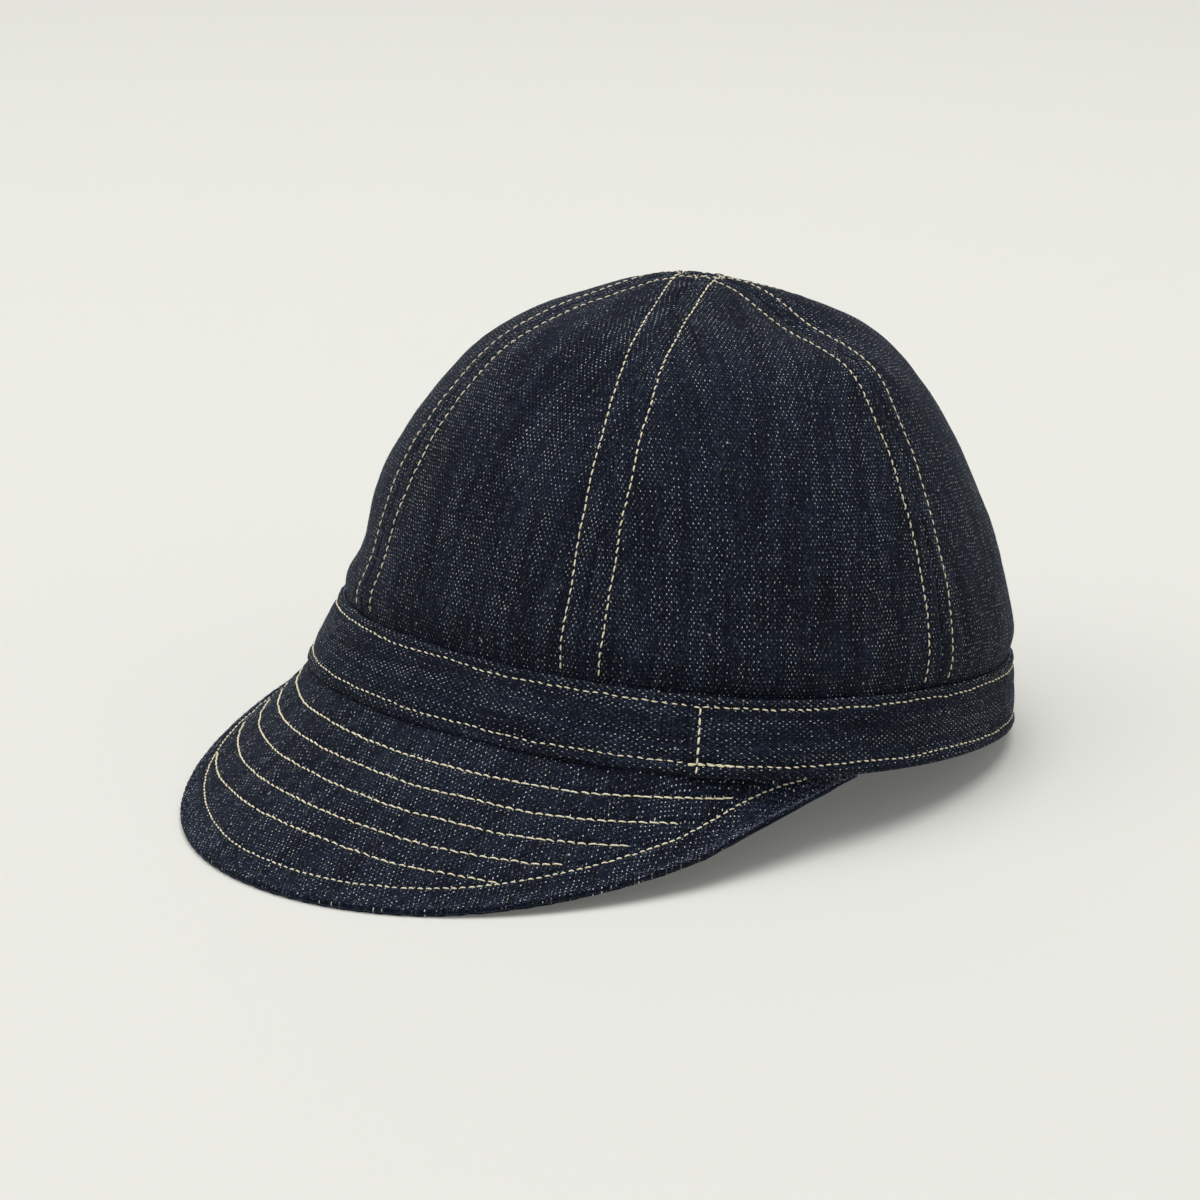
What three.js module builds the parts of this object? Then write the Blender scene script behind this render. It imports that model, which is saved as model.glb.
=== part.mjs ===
// A denim cap of six crown panels, a lapped headband and a two-ply peak, as it rests on a table.
// Millimetres, +Z up. The peak points along -Y and the wearer's left is +X.
// The peak props up the cap's front, so the crown and the headband lean back a little.
// The origin is the middle of the cap's box, at the height of the table.
// An azimuth is in degrees, from the front (0) round to the wearer's left (90).
import * as THREE from 'three';

const { clamp, degToRad, lerp, smoothstep } = THREE.MathUtils;

// Head oval: half length and half width of the headband's lower edge, on its outer face.
const HALF_LENGTH = 98.1;
const HALF_WIDTH = 93.7;
// The oval is fuller at its four corners than an ellipse, by this share.
const CORNER_FULLNESS = 0.038;

// Headband: a folded strip of denim round the base of the crown.
const BAND_HEIGHT = 19.4;
const BAND_WALL = 1.3;
const BAND_TOP_SCALE = 0.982;
// The peak pulls the band's lower edge forward. The pull dies away at this azimuth.
const BAND_FLARE = 7.4;
const BAND_FLARE_REACH = 160;
// Its folded edges are thinner, by this much on each side.
const FOLD_THINNING = 0.35;
// One end of the strip laps over the other. The step that it makes fades out beyond the lap.
const LAP_AZIMUTH = 44;
const LAP_LENGTH = 7;
const LAP_FADE = 24;

// Crown: one denim ply, cut in six panels with seams at these azimuths.
const CROWN_WALL = 1.5;
const SEAM_AZIMUTHS = [-26, 26, 91, 152, 208, 269, 334];
const PANEL_NAMES = ['front', 'front_left', 'back_left', 'back', 'back_right', 'front_right'];
// The tip lies a little to the right of and in front of the middle of the oval.
const TIP_X = -1.2;
const TIP_Y = -4;
// The crown's slope is measured over this step, in degrees.
const SLOPE_STEP = 0.5;
// Near the tip, between these angles, the wall's thickness turns to run straight up.
const TIP_FLAT_FROM = 78;
const TIP_FLAT_TO = 89;
// Columns: the angle above the band's upper edge, seen from the middle of that edge,
// the distance from there to a seam, and how far the middle of a panel swells beyond it.
const CROWN_PROFILE = [
  { angle: 0, reach: 92.7, swell: 0 },
  { angle: 5, reach: 94.2, swell: 0.2 },
  { angle: 12, reach: 93.4, swell: 0.3 },
  { angle: 22, reach: 93.2, swell: 0.4 },
  { angle: 32, reach: 94.2, swell: 0.7 },
  { angle: 42, reach: 95.8, swell: 0.9 },
  { angle: 52, reach: 97.2, swell: 1.0 },
  { angle: 62, reach: 97.0, swell: 1.4 },
  { angle: 72, reach: 96.6, swell: 1.4 },
  { angle: 82, reach: 98.6, swell: 0.6 },
  { angle: 90, reach: 99.8, swell: 0 },
];
// Dents and bulges of the soft crown. Columns: the middle's azimuth and angle, the half widths
// along each, and the depth, where a dent is negative.
const CROWN_FOLDS = [
  { azimuth: 90, angle: 67, wide: 22, tall: 9, depth: -2.6 },
  { azimuth: 92, angle: 54, wide: 20, tall: 9, depth: 2.6 },
  { azimuth: 145, angle: 60, wide: 42, tall: 11, depth: 3.4 },
  { azimuth: 128, angle: 34, wide: 30, tall: 12, depth: -0.6 },
  { azimuth: 128, angle: 72, wide: 36, tall: 9, depth: 1.7 },
  { azimuth: -50, angle: 9, wide: 36, tall: 9, depth: -3.4 },
  { azimuth: -62, angle: 40, wide: 40, tall: 18, depth: -1.5 },
  { azimuth: -110, angle: 68, wide: 44, tall: 12, depth: -2.6 },
  { azimuth: 60, angle: 12, wide: 26, tall: 6, depth: -1.4 },
  { azimuth: 0, angle: 14, wide: 7, tall: 10, depth: -1.0 },
];
// The seam to the band and the tip hold the folds off within these angles.
const HELD_BY_BAND = 8;
const HELD_BY_TIP = 12;

// Peak: two plies, sewn to the band's lower edge as far round as this azimuth on each side.
const PLY = 1.2;
const PEAK_AZIMUTH = 73;
const PEAK_TUCK = 0.2;
// How far the band's wall slopes from the plies that run up behind it, in degrees.
const ROOT_SLOPE = 32;
// Its edge seen from above is nearly half an ellipse, whose widest place is in front of the ears.
const PEAK_HALF_WIDTH = 92.7;
const PEAK_WIDEST = 33;
const PEAK_FRONT = 162.8;
const PEAK_ROUNDNESS = 0.966;
// The edge lies on the table in front and climbs towards its ends.
const EDGE_HEIGHT = 0.75;
const EDGE_CLIMB = 17;
const EDGE_CLIMB_START = 147.8;
const EDGE_CLIMB_RUN = 122.8;
const EDGE_CLIMB_POWER = 1.24;
// The thickness follows the slope as far as this share of the half width and this much
// of the way from the band to the edge, where the surface comes to a point.
const SLOPE_WIDTH = 0.88;
const SLOPE_FROM = 0.02;
const SLOPE_TO = 0.96;
const PEAK_STEP = 0.01;
// Between the band and the edge the peak sags, more towards its sides.
const SAG_MIDDLE = 2.4;
const SAG_SIDES = 3.6;

// How far the cap leans back, in degrees, and how far its cloth is flattened where it rests.
const LEAN = degToRad(8.36);
const PRESS = 0.5;
const LIFT = HALF_LENGTH * Math.sin(LEAN) - PRESS;
// Sewn pieces keep this gap.
const GAP = 0.3;

// Columns and rows of each wall's mesh. A crown row is an angle, or when negative a depth
// below the band's upper edge. A peak row runs from 0 at the band to 1 at the edge,
// and a negative one is tucked up behind the band.
const PANEL_COLUMNS = 9;
const CROWN_ROWS = [-13.6, -7, 0, 3, 7, 13, 21, 30, 39, 48, 56, 63, 69, 75, 81, 86];
const TIP_RADIUS = 1.2;
const BAND_COLUMNS = 76;
const BAND_ROWS = [0, 0.06, 0.35, 0.65, 0.94, 1];
const PEAK_COLUMNS = 32;
const PEAK_ROWS = [-PEAK_TUCK, -0.08, 0, 0.1, 0.24, 0.42, 0.6, 0.78, 0.92, 0.972, 1];

// Reads a smooth curve through a table's rows at one value of its first column.
function tableAt(table, key, column, value) {
  let i = table.findIndex((row) => row[key] > value);
  i = i < 0 ? table.length - 1 : Math.max(i, 1);
  const at = (k) => table[clamp(k, 0, table.length - 1)];
  const [before, from, to, after] = [at(i - 2), at(i - 1), at(i), at(i + 1)];
  const span = to[key] - from[key];
  const slopeFrom = (to[column] - before[column]) / (to[key] - before[key] || 1);
  const slopeTo = (after[column] - from[column]) / (after[key] - from[key] || 1);
  const t = (value - from[key]) / span;
  const t2 = t * t;
  const t3 = t2 * t;
  return (2 * t3 - 3 * t2 + 1) * from[column] + (t3 - 2 * t2 + t) * span * slopeFrom
    + (3 * t2 - 2 * t3) * to[column] + (t3 - t2) * span * slopeTo;
}

// The difference of two azimuths, from -180 to 180.
const turn = (a, b) => THREE.MathUtils.euclideanModulo(a - b + 180, 360) - 180;

// A smooth hump, 1 at 0 and gone at 1.
const hump = (x) => (Math.abs(x) < 1 ? 0.5 + 0.5 * Math.cos(Math.PI * x) : 0);

const cornerScale = (azimuth) => 1 + CORNER_FULLNESS * (1 - Math.cos(4 * degToRad(azimuth))) / 2;

// Leans a point of the upright cap back and sets it over the table.
function place(x, y, z) {
  const leaned = y * Math.cos(LEAN) + z * Math.sin(LEAN);
  const raised = z * Math.cos(LEAN) - y * Math.sin(LEAN);
  return new THREE.Vector3(x, leaned, raised + LIFT);
}

// A point of the headband: level 0 is its lower edge and 1 its upper one,
// and inset is measured from its outer face.
function bandPoint(azimuth, level, inset) {
  const a = degToRad(azimuth);
  const scale = lerp(1, BAND_TOP_SCALE, level) * cornerScale(azimuth);
  const flare = BAND_FLARE * hump(turn(azimuth, 0) / BAND_FLARE_REACH) * (1 - level);
  const x = (HALF_WIDTH * scale + flare - inset) * Math.sin(a);
  const y = -(HALF_LENGTH * scale + flare - inset) * Math.cos(a);
  return place(x, y, BAND_HEIGHT * level);
}

// A point of the crown's outer face. Swell is 0 at a panel's seams and 1 at its middle.
function crownPoint(azimuth, row, swell) {
  if (row < 0) {
    return bandPoint(azimuth, 1 + row / BAND_HEIGHT, BAND_WALL + GAP);
  }
  const a = degToRad(azimuth);
  const angle = degToRad(row);
  let reach = tableAt(CROWN_PROFILE, 'angle', 'reach', row);
  reach += swell * tableAt(CROWN_PROFILE, 'angle', 'swell', row);
  for (const fold of CROWN_FOLDS) {
    const across = turn(azimuth, fold.azimuth) / fold.wide;
    const along = (row - fold.angle) / fold.tall;
    const held = smoothstep(row, 0, HELD_BY_BAND) * smoothstep(90 - row, 0, HELD_BY_TIP);
    reach += held * fold.depth * Math.exp(-across * across - along * along);
  }
  const meanRadius = BAND_TOP_SCALE * (HALF_LENGTH + HALF_WIDTH) / 2;
  const height = reach * Math.sin(angle);
  const share = clamp(height / meanRadius, 0, 1);
  const corners = lerp(cornerScale(azimuth), 1, share);
  const wide = lerp(BAND_TOP_SCALE * HALF_WIDTH / meanRadius, 1, share) * corners;
  const long = lerp(BAND_TOP_SCALE * HALF_LENGTH / meanRadius, 1, share) * corners;
  const radius = reach * Math.cos(angle);
  const x = wide * radius * Math.sin(a) + TIP_X * share;
  const y = -long * radius * Math.cos(a) + TIP_Y * share;
  return place(x, y, BAND_HEIGHT + height);
}

// The unit normal of a surface at (u, v), from points a small step to each side.
function normalAt(surface, u, v, stepU, stepV) {
  const alongU = surface(u + stepU, v).sub(surface(u - stepU, v));
  const alongV = surface(u, v + stepV).sub(surface(u, v - stepV));
  return alongU.cross(alongV).normalize();
}

// Builds a closed wall between two grids of points with the same rows and columns.
function closedWall(outer, inner) {
  const rows = outer.length;
  const columns = outer[0].length;
  const points = [...outer.flat(), ...inner.flat()];
  const innerStart = rows * columns;
  const faces = [];
  const quad = (a, b, c, d) => faces.push(a, b, c, a, c, d);
  for (let r = 0; r < rows - 1; r += 1) {
    for (let c = 0; c < columns - 1; c += 1) {
      const a = r * columns + c;
      const b = a + columns;
      quad(a, a + 1, b + 1, b);
      quad(innerStart + a, innerStart + b, innerStart + b + 1, innerStart + a + 1);
    }
  }
  for (let c = 0; c < columns - 1; c += 1) {
    const top = (rows - 1) * columns + c;
    quad(c, innerStart + c, innerStart + c + 1, c + 1);
    quad(top, top + 1, innerStart + top + 1, innerStart + top);
  }
  for (let r = 0; r < rows - 1; r += 1) {
    const left = r * columns;
    const right = left + columns - 1;
    quad(left, left + columns, innerStart + left + columns, innerStart + left);
    quad(right, innerStart + right, innerStart + right + columns, right + columns);
  }
  let volume = 0;
  for (let i = 0; i < faces.length; i += 3) {
    const [a, b, c] = [points[faces[i]], points[faces[i + 1]], points[faces[i + 2]]];
    volume += a.dot(b.clone().cross(c));
  }
  if (volume < 0) {
    faces.reverse();
  }
  const geometry = new THREE.BufferGeometry();
  geometry.setFromPoints(points);
  geometry.setIndex(faces);
  geometry.computeVertexNormals();
  return geometry;
}

// One crown panel between two seams. Its edges stand half a gap back from each seam.
function panelGeometry(fromSeam, toSeam) {
  const outer = [];
  const inner = [];
  for (const row of [...CROWN_ROWS, 90 - TIP_RADIUS]) {
    const radius = Math.max(HALF_WIDTH * Math.cos(degToRad(Math.max(row, 0))), TIP_RADIUS);
    const margin = THREE.MathUtils.radToDeg(GAP / 2 / radius);
    const outerRow = [];
    const innerRow = [];
    for (let c = 0; c < PANEL_COLUMNS; c += 1) {
      const share = c / (PANEL_COLUMNS - 1);
      const azimuth = lerp(fromSeam + margin, toSeam - margin, share);
      const swellAt = (az) => Math.sin(Math.PI * clamp((az - fromSeam) / (toSeam - fromSeam), 0, 1));
      const surface = (az, v) => crownPoint(az, v, swellAt(az));
      const near = row < 1 ? Math.min(row, -1) : row;
      const normal = normalAt(surface, azimuth, near, SLOPE_STEP, SLOPE_STEP);
      const up = new THREE.Vector3(0, Math.sin(LEAN), Math.cos(LEAN));
      const outward = surface(azimuth, row).setZ(0).addScaledVector(up, Math.max(row, 0));
      if (normal.dot(outward) < 0) {
        normal.negate();
      }
      normal.lerp(up, smoothstep(row, TIP_FLAT_FROM, TIP_FLAT_TO)).normalize();
      const point = surface(azimuth, row);
      outerRow.push(point);
      innerRow.push(point.clone().addScaledVector(normal, -CROWN_WALL));
    }
    outer.push(outerRow);
    inner.push(innerRow);
  }
  return closedWall(outer, inner);
}

// The headband, wound once round from its upper end, over the tucked end of the same strip.
function bandGeometry() {
  const step = BAND_WALL + GAP;
  const outer = BAND_ROWS.map(() => []);
  const inner = BAND_ROWS.map(() => []);
  for (let c = 0; c < BAND_COLUMNS; c += 1) {
    const wound = lerp(0, 360 + LAP_LENGTH, c / (BAND_COLUMNS - 1));
    const raised = step * (1 - smoothstep(wound, LAP_LENGTH + 1, LAP_LENGTH + LAP_FADE));
    const azimuth = LAP_AZIMUTH + wound;
    BAND_ROWS.forEach((level, r) => {
      const folded = r === 0 || r === BAND_ROWS.length - 1 ? FOLD_THINNING : 0;
      const outside = bandPoint(azimuth, level, folded - raised);
      const inside = bandPoint(azimuth, level, BAND_WALL - folded - raised);
      outside.z = Math.max(outside.z, 0);
      inside.z = Math.max(inside.z, 0);
      outer[r].push(outside);
      inner[r].push(inside);
    });
  }
  return closedWall(outer, inner);
}

// A point of the surface between the peak's two plies, where s runs from -1 to 1 across the peak.
function peakPoint(s, t) {
  const inset = BAND_WALL + (GAP + PLY + GAP / 2) / Math.cos(degToRad(ROOT_SLOPE));
  if (t < 0) {
    return bandPoint(s * PEAK_AZIMUTH, -t, inset);
  }
  const root = bandPoint(s * PEAK_AZIMUTH, 0, inset);
  const along = degToRad(s * 90);
  const across = Math.sign(s) * Math.abs(Math.sin(along)) ** PEAK_ROUNDNESS;
  const forward = Math.abs(Math.cos(along)) ** PEAK_ROUNDNESS;
  const y = -PEAK_WIDEST - (PEAK_FRONT - PEAK_WIDEST) * forward;
  const climbed = Math.max(y + EDGE_CLIMB_START, 0) / EDGE_CLIMB_RUN;
  const z = EDGE_HEIGHT + EDGE_CLIMB * climbed ** EDGE_CLIMB_POWER;
  const edge = new THREE.Vector3(PEAK_HALF_WIDTH * across, y, z);
  const point = root.lerp(edge, t);
  const sag = (SAG_MIDDLE + SAG_SIDES * s * s) * (1 - s ** 4);
  point.z -= 4 * sag * t * (1 - t);
  return point;
}

// One ply of the peak, between two distances from the surface between the plies.
function peakGeometry(top, bottom) {
  const upper = [];
  const lower = [];
  for (const row of PEAK_ROWS) {
    const upperRow = [];
    const lowerRow = [];
    for (let c = 0; c < PEAK_COLUMNS; c += 1) {
      const s = lerp(-1, 1, c / (PEAK_COLUMNS - 1));
      const broad = clamp(s, -SLOPE_WIDTH, SLOPE_WIDTH);
      const along = clamp(row, SLOPE_FROM, SLOPE_TO);
      const normal = normalAt(peakPoint, broad, along, PEAK_STEP, PEAK_STEP);
      if (row <= 0) {
        const wall = normalAt(peakPoint, broad, -PEAK_TUCK / 2, PEAK_STEP, PEAK_STEP);
        normal.lerp(wall, row < 0 ? 1 : 0.5).normalize();
      }
      if (normal.z < 0) {
        normal.negate();
      }
      const point = peakPoint(s, row);
      const above = point.clone().addScaledVector(normal, top);
      const below = point.clone().addScaledVector(normal, bottom);
      above.z = Math.max(above.z, 0);
      below.z = Math.max(below.z, 0);
      upperRow.push(above);
      lowerRow.push(below);
    }
    upper.push(upperRow);
    lower.push(lowerRow);
  }
  return closedWall(upper, lower);
}

// Denim, dark indigo on its face. The peak and the band are cut from the same cloth as the crown.
function denim(color) {
  return new THREE.MeshStandardMaterial({ color, roughness: 0.92, metalness: 0 });
}

function piece(name, geometry, material) {
  const mesh = new THREE.Mesh(geometry, material);
  mesh.name = name;
  return mesh;
}

const cap = new THREE.Group();
PANEL_NAMES.forEach((name, i) => {
  const geometry = panelGeometry(SEAM_AZIMUTHS[i], SEAM_AZIMUTHS[i + 1]);
  cap.add(piece(`crown_panel_${name}`, geometry, denim(0x1d2538)));
});
cap.add(piece('headband', bandGeometry(), denim(0x1c2437)));
cap.add(piece('peak_upper', peakGeometry(GAP / 2 + PLY, GAP / 2), denim(0x1b2336)));
cap.add(piece('peak_under', peakGeometry(-GAP / 2, -GAP / 2 - PLY), denim(0x1b2336)));

// Set the origin under the middle of the box.
const box = new THREE.Box3().setFromObject(cap);
cap.position.set(-(box.min.x + box.max.x) / 2, -(box.min.y + box.max.y) / 2, -box.min.z);

export default cap;
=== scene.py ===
"""A dark denim cap, resting on a pale floor: its cloth, its stitching and the light on it.

Sizes are in millimetres until a mesh is made. An azimuth is in degrees, from the front (0, along
-Y) round to the wearer's left (90, along +X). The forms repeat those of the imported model.
"""
import math

import bpy
import numpy as np
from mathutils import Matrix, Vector


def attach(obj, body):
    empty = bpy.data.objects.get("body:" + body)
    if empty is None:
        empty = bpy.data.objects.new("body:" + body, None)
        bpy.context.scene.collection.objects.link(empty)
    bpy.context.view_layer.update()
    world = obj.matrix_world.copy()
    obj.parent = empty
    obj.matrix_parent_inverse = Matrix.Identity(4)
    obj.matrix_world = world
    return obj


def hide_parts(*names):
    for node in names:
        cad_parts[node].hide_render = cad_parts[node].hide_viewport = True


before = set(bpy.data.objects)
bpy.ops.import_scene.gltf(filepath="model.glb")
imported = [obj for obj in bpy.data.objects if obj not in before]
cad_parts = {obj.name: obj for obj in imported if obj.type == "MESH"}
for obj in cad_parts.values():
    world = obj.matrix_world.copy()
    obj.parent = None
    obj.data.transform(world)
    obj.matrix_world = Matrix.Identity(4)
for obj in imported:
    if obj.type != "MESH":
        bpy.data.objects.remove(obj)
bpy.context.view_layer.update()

MM = 0.001

# The head oval, and the headband round it.
HALF_LENGTH = 98.1
HALF_WIDTH = 93.7
CORNER_FULLNESS = 0.038
BAND_HEIGHT = 19.4
BAND_WALL = 1.3
BAND_TOP_SCALE = 0.982
BAND_FLARE = 7.4
BAND_FLARE_REACH = 160
LAP_AZIMUTH = 44
LAP_LENGTH = 7
LAP_FADE = 24

# The crown's six panels, between seams at these azimuths.
CROWN_WALL = 1.5
CROWN_TUCK = 13.6
SEAM_AZIMUTHS = [-26, 26, 91, 152, 208, 269, 334]
PANEL_NAMES = ["front", "front_left", "back_left", "back", "back_right", "front_right"]
TIP_X = -1.2
TIP_Y = -4
# Columns: the angle above the band's upper edge, the distance from the middle of that edge
# to a seam, and how far the middle of a panel swells beyond it.
CROWN_PROFILE = np.array([
    (0, 92.7, 0),
    (5, 94.2, 0.2),
    (12, 93.4, 0.3),
    (22, 93.2, 0.4),
    (32, 94.2, 0.7),
    (42, 95.8, 0.9),
    (52, 97.2, 1.0),
    (62, 97.0, 1.4),
    (72, 96.6, 1.4),
    (82, 98.6, 0.6),
    (90, 99.8, 0),
])
# Columns: the azimuth and angle of a fold's middle, its half widths along each, and its depth.
CROWN_FOLDS = [
    (90, 67, 22, 9, -2.6),
    (92, 54, 20, 9, 2.6),
    (145, 60, 42, 11, 3.4),
    (128, 34, 30, 12, -0.6),
    (128, 72, 36, 9, 1.7),
    (-50, 9, 36, 9, -3.4),
    (-62, 40, 40, 18, -1.5),
    (-110, 68, 44, 12, -2.6),
    (60, 12, 26, 6, -1.4),
    (0, 14, 7, 10, -1.0),
]
HELD_BY_BAND = 8
HELD_BY_TIP = 12

# The peak's two plies.
PLY = 1.2
PEAK_AZIMUTH = 73
PEAK_TUCK = 0.2
ROOT_SLOPE = 32
PEAK_HALF_WIDTH = 92.7
PEAK_WIDEST = 33
PEAK_FRONT = 162.8
PEAK_ROUNDNESS = 0.966
EDGE_HEIGHT = 0.75
EDGE_CLIMB = 17
EDGE_CLIMB_START = 147.8
EDGE_CLIMB_RUN = 122.8
EDGE_CLIMB_POWER = 1.24
SLOPE_WIDTH = 0.88
SAG_MIDDLE = 2.4
SAG_SIDES = 3.6

# How the cap leans and lies, and where the middle of the head oval is.
LEAN = math.radians(8.36)
PRESS = 0.5
LIFT = HALF_LENGTH * math.sin(LEAN) - PRESS
MIDDLE_Y = 32.247
GAP = 0.3

# Sewing. A crown seam has a line of stitches on each side of its join. Its pressed-open allowances
# raise the cloth over them, which falls away between two distances from the join.
SEAM_STITCH_OFFSET = 5.3
SEAM_STITCH_DEPTH = 0.36
JOIN_DEPTH = 0.34
ALLOWANCE_FALL = (4.7, 6.7)
ALLOWANCE_RISE = 0.42
ALLOWANCE_WIDTH = 7.2
ALLOWANCE_THICKNESS = 0.75
# Columns: how far from the join a seam puckers, the half width of the puckers, and their height.
SEAM_PUCKERS = [(2.7, 1.5, 0.10), (7.6, 1.8, 0.09)]
BAND_LOWER_STITCH = 3.0
BAND_UPPER_STITCH = 17.0
BAND_STITCH_DEPTH = 0.30
LAP_STITCH = 2.3
LAP_STITCH_DEPTH = 0.26
# Columns: how high on the headband a ridge beside its folds lies, its half width and its height.
BAND_RIDGES = [(1.2, 0.9, 0.30), (18.3, 0.8, 0.12)]
# Rows across the peak. Columns: the distance out from the band, how far it draws in towards the
# sides, how much farther out the left half runs, and how short of the edge stitching it stops.
PEAK_ROWS = [
    (9.1, 0.75, 0.9, 2.1),
    (16.9, 0.5, 1.6, 3.3),
    (25.0, 0.452, 2.2, 2.6),
    (34.2, 0.452, 2.0, 2.3),
    (42.9, 0.452, 1.7, 0.6),
]
PEAK_ROW_DEPTH = 0.62
EDGE_STITCH_LEFT = 8.4
EDGE_STITCH_RIGHT = 2.9
EDGE_STITCH_DEPTH = 0.46
# Across the peak, s runs from -1 at its end on the wearer's right to 1 at its left end. Over these
# stretches of s, the under ply is sewn thinner towards both ends, by UNDER_PRESSED, and towards
# the left end the edge is drawn in, by a share of the way to the band.
UNDER_PRESSED = 0.75
UNDER_PRESSED_S = (0.62, 0.9)
EDGE_DRAWN_IN = 0.42
EDGE_DRAWN_IN_S = 0.74
EDGE_STITCH_DRAWN_IN = 3.4
EDGE_STITCH_DRAWN_IN_S = (0.74, 0.92)

# About how far the cloth runs for a degree up the crown, for a degree round the headband, and for
# 1 along the peak.
CROWN_MM_PER_DEGREE = 1.6
BAND_MM_PER_DEGREE = 1.66
PEAK_MM_PER_S = 118

# Small wrinkles. Columns: their height, their wavelength and a seed.
CROWN_WRINKLES = [(0.34, 46, 5), (0.10, 15, 6), (0.045, 6, 7)]
BAND_WRINKLES = [(0.22, 26, 21), (0.07, 9, 22)]
BAND_FINE_WRINKLES = [(0.05, 5.5, 23)]
PEAK_PUFFS = [(0.13, 7.5, 61), (0.06, 4, 62)]
PEAK_WAVES = [(0.30, 42, 63)]
PEAK_FINE_WRINKLES = [(0.05, 9, 64)]

# Kinds of stitch. Columns: the pitch, the share of it that shows as thread, half the thread's
# thickness, how far a stitch arches, slants and wavers, and its taper: at 1 its ends are drawn
# out to a point, and below that they are blunter.
STITCH_KINDS = {
    "crown": (2.5, 0.86, 0.225, 0.32, 0.07, 0.06, 1.0),
    "crown_reverse": (2.45, 0.74, 0.2, 0.26, -0.04, 0.03, 1.0),
    "band": (2.6, 0.74, 0.215, 0.31, 0.09, 0.06, 1.0),
    "band_reverse": (2.65, 0.68, 0.2, 0.26, -0.05, 0.04, 1.0),
    "lap": (2.4, 0.97, 0.215, 0.33, 0.08, 0.03, 1.0),
    "tack": (2.3, 0.96, 0.24, 0.33, 0.1, 0.05, 1.0),
    "peak": (2.7, 0.98, 0.24, 0.46, 0.12, 0.03, 0.55),
    "peak_under": (2.7, 0.86, 0.24, 0.46, -0.12, 0.03, 0.55),
    "edge": (2.15, 0.84, 0.235, 0.32, 0.06, 0.05, 1.0),
    "edge_under": (2.15, 0.84, 0.235, 0.32, -0.06, 0.05, 1.0),
}

# Loose fibres: half their thickness, and how many stand on each part.
FLUFF_RADIUS = 0.03
CROWN_FLUFF = 7000
BAND_FLUFF = 1800
PEAK_FLUFF = 4200


def smooth(value, low, high):
    """A smooth step from 0 at low to 1 at high."""
    t = np.clip((value - low) / (high - low), 0, 1)
    return t * t * (3 - 2 * t)


def bell(distance, width):
    """A smooth hump, 1 at distance 0."""
    return np.exp(-(distance / width) ** 2)


def turn(a, b):
    """The difference of two azimuths, from -180 to 180."""
    return (a - b + 180) % 360 - 180


def unit(vectors):
    """The vectors at length 1."""
    return vectors / np.maximum(np.linalg.norm(vectors, axis=-1, keepdims=True), 1e-9)


def ripple(points, wavelength, seed, count=14):
    """Smooth seeded noise, mostly between -1 and 1, whose waves are about one wavelength long."""
    random = np.random.default_rng(seed)
    total = np.zeros(len(points))
    for _ in range(count):
        heading = unit(random.normal(size=points.shape[1]))
        stretch = random.uniform(0.7, 1.5)
        phase = random.uniform(0, 2 * math.pi)
        total += np.sin(points @ heading * (2 * math.pi / (wavelength * stretch)) + phase)
    return total / math.sqrt(count)


def ripple_along(distance, wavelength, seed):
    """The same kind of noise along a line."""
    return ripple(np.asarray(distance, float).reshape(-1, 1), wavelength, seed, 9)


def wrinkles(points, table):
    """The height of several kinds of small wrinkle together."""
    return sum(height * ripple(points, wavelength, seed) for height, wavelength, seed in table)


def ridges(distance, table):
    """The height of ridges at several distances from a line."""
    return sum(height * bell(distance - middle, width) for middle, width, height in table)


def tug(distance, pitch, phase=0.0):
    """How hard a line of stitches pulls on the cloth: up to 1 and back to 0 over each stitch."""
    return 0.5 + 0.5 * np.sin(2 * math.pi * distance / pitch + phase)


def above_floor(points):
    """Raises points that would lie below the floor up to it."""
    points[:, 2] = np.maximum(points[:, 2], 0.0)
    return points


def graded(start, end, places, reach, fine, coarse):
    """Positions from start to end, closer together within reach of the given places."""
    x = np.linspace(start, end, 4001)
    near = np.min(np.abs(x[:, None] - np.array(places, float)[None, :]), axis=1)
    spacing = fine + (coarse - fine) * smooth(near, 0.6 * reach, 1.6 * reach)
    count = np.concatenate([[0], np.cumsum(np.diff(x) / spacing[:-1])])
    cells = int(round(count[-1]))
    return np.interp(np.linspace(0, count[-1], cells + 1), count, x)


def profile_at(column, angle):
    """Reads a smooth curve through one column of the crown's profile."""
    angles = CROWN_PROFILE[:, 0]
    values = CROWN_PROFILE[:, column]
    last = len(angles) - 1
    i = np.clip(np.searchsorted(angles, angle, side="right"), 1, last)
    before, after = np.maximum(i - 2, 0), np.minimum(i + 1, last)
    span = angles[i] - angles[i - 1]
    slope_from = (values[i] - values[before]) / (angles[i] - angles[before])
    slope_to = (values[after] - values[i - 1]) / (angles[after] - angles[i - 1])
    t = (angle - angles[i - 1]) / span
    t2, t3 = t ** 2, t ** 3
    return ((2 * t3 - 3 * t2 + 1) * values[i - 1] + (t3 - 2 * t2 + t) * span * slope_from
            + (3 * t2 - 2 * t3) * values[i] + (t3 - t2) * span * slope_to)


def corner_scale(azimuth):
    """How much fuller than an ellipse the head oval is at an azimuth."""
    return 1 + CORNER_FULLNESS * (1 - np.cos(4 * np.radians(azimuth))) / 2


def place(x, y, z):
    """Leans points of the upright cap back and sets them over the floor."""
    leaned = y * math.cos(LEAN) + z * math.sin(LEAN)
    raised = z * math.cos(LEAN) - y * math.sin(LEAN)
    return np.stack([x, leaned + MIDDLE_Y, raised + LIFT], axis=-1)


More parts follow.
